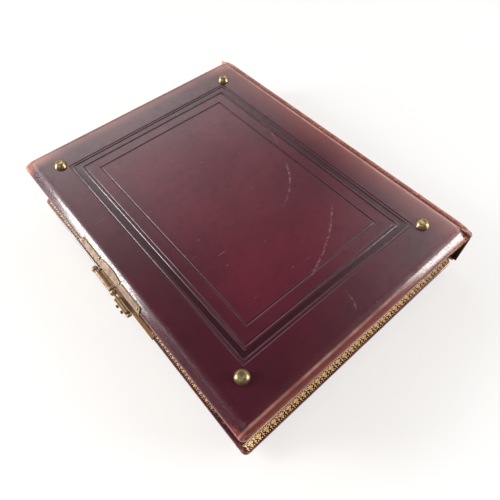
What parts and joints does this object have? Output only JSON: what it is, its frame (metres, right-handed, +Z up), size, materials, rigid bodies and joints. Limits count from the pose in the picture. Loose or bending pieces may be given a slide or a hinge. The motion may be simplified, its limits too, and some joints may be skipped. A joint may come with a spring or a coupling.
{
  "type": "photograph album",
  "caption": "Leather photograph album with bevelled tooled covers, brass corner bosses, thick card leaves on linen guards and a hinged brass pinch clasp at the fore edge.",
  "frame": {"origin": "on the table under the middle of the box that the closed album fills", "axes": "+X from the spine to the fore edge, +Y from the tail to the head, +Z up out of the front cover"},
  "size_m": [0.2372, 0.297, 0.0673],
  "materials": {
    "leather": "polished goatskin, dark red-brown, blind tooled, worn tan at the edges",
    "brass": "old lacquered brass, tarnished in the recesses",
    "card": "cream card, gilt on the edges",
    "linen": "unbleached linen",
    "board": "millboard",
    "paper": "cream endpaper",
    "steel": "spring wire"
  },
  "bodies": {
    "back_cover": {"back_board": "board", "back_leather": "leather", "back_pastedown": "paper", "back_bosses": "brass", "lower_plate": "brass", "lower_plate_pins": "brass"},
    "spine": {"spine_board": "board", "spine_leather": "leather", "spine_lining": "linen", "stubs": "card", "guard_tails": "linen"},
    "front_cover": {"front_board": "board", "front_leather": "leather", "front_pastedown": "paper", "front_bosses": "brass", "upper_plate": "brass", "upper_plate_pins": "brass", "hinge_pin": "brass"},
    "leaf_01": {"leaf_01": "card", "guard_01": "linen"},
    "leaf_02": {"leaf_02": "card", "guard_02": "linen"},
    "leaf_03": {"leaf_03": "card", "guard_03": "linen"},
    "leaf_04": {"leaf_04": "card", "guard_04": "linen"},
    "leaf_05": {"leaf_05": "card", "guard_05": "linen"},
    "leaf_06": {"leaf_06": "card", "guard_06": "linen"},
    "leaf_07": {"leaf_07": "card", "guard_07": "linen"},
    "leaf_08": {"leaf_08": "card", "guard_08": "linen"},
    "leaf_09": {"leaf_09": "card", "guard_09": "linen"},
    "leaf_10": {"leaf_10": "card", "guard_10": "linen"},
    "hasp": {"hasp": "brass", "latch_spring": "steel"},
    "latch_bolt_left": {"latch_bolt_left": "brass"},
    "latch_bolt_right": {"latch_bolt_right": "brass"}
  },
  "joints": [
    {"name": "spine_fold", "type": "hinge", "parent": "back_cover", "child": "spine", "pos_m": [-0.11331, 0, 0.0093], "axis": [0, -1, 0], "range_deg": [0, 86.7]},
    {"name": "front_cover_hinge", "type": "hinge", "parent": "spine", "child": "front_cover", "pos_m": [-0.11544, 0, 0.04634], "axis": [0, -1, 0], "range_deg": [0, 90.01]},
    {"name": "leaf_01_hinge", "type": "hinge", "parent": "spine", "child": "leaf_01", "pos_m": [-0.1059, 0, 0.0407], "axis": [0, -1, 0], "range_deg": [0, 70.17]},
    {"name": "leaf_02_hinge", "type": "hinge", "parent": "spine", "child": "leaf_02", "pos_m": [-0.10574, 0, 0.03796], "axis": [0, -1, 0], "range_deg": [0, 54.95]},
    {"name": "leaf_03_hinge", "type": "hinge", "parent": "spine", "child": "leaf_03", "pos_m": [-0.10559, 0, 0.03521], "axis": [0, -1, 0], "range_deg": [0, 39.72]},
    {"name": "leaf_04_hinge", "type": "hinge", "parent": "spine", "child": "leaf_04", "pos_m": [-0.10543, 0, 0.03247], "axis": [0, -1, 0], "range_deg": [0, 24.5]},
    {"name": "leaf_05_hinge", "type": "hinge", "parent": "spine", "child": "leaf_05", "pos_m": [-0.10527, 0, 0.02972], "axis": [0, -1, 0], "range_deg": [0, 9.27]},
    {"name": "leaf_06_hinge", "type": "hinge", "parent": "spine", "child": "leaf_06", "pos_m": [-0.10511, 0, 0.02698], "axis": [0, -1, 0], "range_deg": [-5.97, 0]},
    {"name": "leaf_07_hinge", "type": "hinge", "parent": "spine", "child": "leaf_07", "pos_m": [-0.10495, 0, 0.02423], "axis": [0, -1, 0], "range_deg": [-21.2, 0]},
    {"name": "leaf_08_hinge", "type": "hinge", "parent": "spine", "child": "leaf_08", "pos_m": [-0.10479, 0, 0.02149], "axis": [0, -1, 0], "range_deg": [-36.42, 0]},
    {"name": "leaf_09_hinge", "type": "hinge", "parent": "spine", "child": "leaf_09", "pos_m": [-0.10464, 0, 0.01874], "axis": [0, -1, 0], "range_deg": [-51.65, 0]},
    {"name": "leaf_10_hinge", "type": "hinge", "parent": "spine", "child": "leaf_10", "pos_m": [-0.10448, 0, 0.01599], "axis": [0, -1, 0], "range_deg": [-66.88, 0]},
    {"name": "hasp_hinge", "type": "hinge", "parent": "front_cover", "child": "hasp", "pos_m": [0.11391, -0.003, 0.05556], "axis": [0, -1, 0], "range_deg": [0, 95]},
    {"name": "latch_bolt_left_slide", "type": "slide", "parent": "hasp", "child": "latch_bolt_left", "axis": [0, -1, 0], "range_m": [0, 0.0014], "deforming": ["latch_spring"]},
    {"name": "latch_bolt_right_slide", "type": "slide", "parent": "hasp", "child": "latch_bolt_right", "axis": [0, 1, 0], "range_m": [0, 0.0014]}
  ],
  "couplings": [
    {"joint": "front_cover_hinge", "follows": "spine_fold", "ratio": 1.0381},
    {"joint": "leaf_01_hinge", "follows": "spine_fold", "ratio": 0.80929},
    {"joint": "leaf_02_hinge", "follows": "spine_fold", "ratio": 0.63367},
    {"joint": "leaf_03_hinge", "follows": "spine_fold", "ratio": 0.45806},
    {"joint": "leaf_04_hinge", "follows": "spine_fold", "ratio": 0.28245},
    {"joint": "leaf_05_hinge", "follows": "spine_fold", "ratio": 0.10684},
    {"joint": "leaf_06_hinge", "follows": "spine_fold", "ratio": -0.068775},
    {"joint": "leaf_07_hinge", "follows": "spine_fold", "ratio": -0.24439},
    {"joint": "leaf_08_hinge", "follows": "spine_fold", "ratio": -0.42},
    {"joint": "leaf_09_hinge", "follows": "spine_fold", "ratio": -0.59561},
    {"joint": "leaf_10_hinge", "follows": "spine_fold", "ratio": -0.77122},
    {"joint": "latch_bolt_right_slide", "follows": "latch_bolt_left_slide", "ratio": 1}
  ]
}
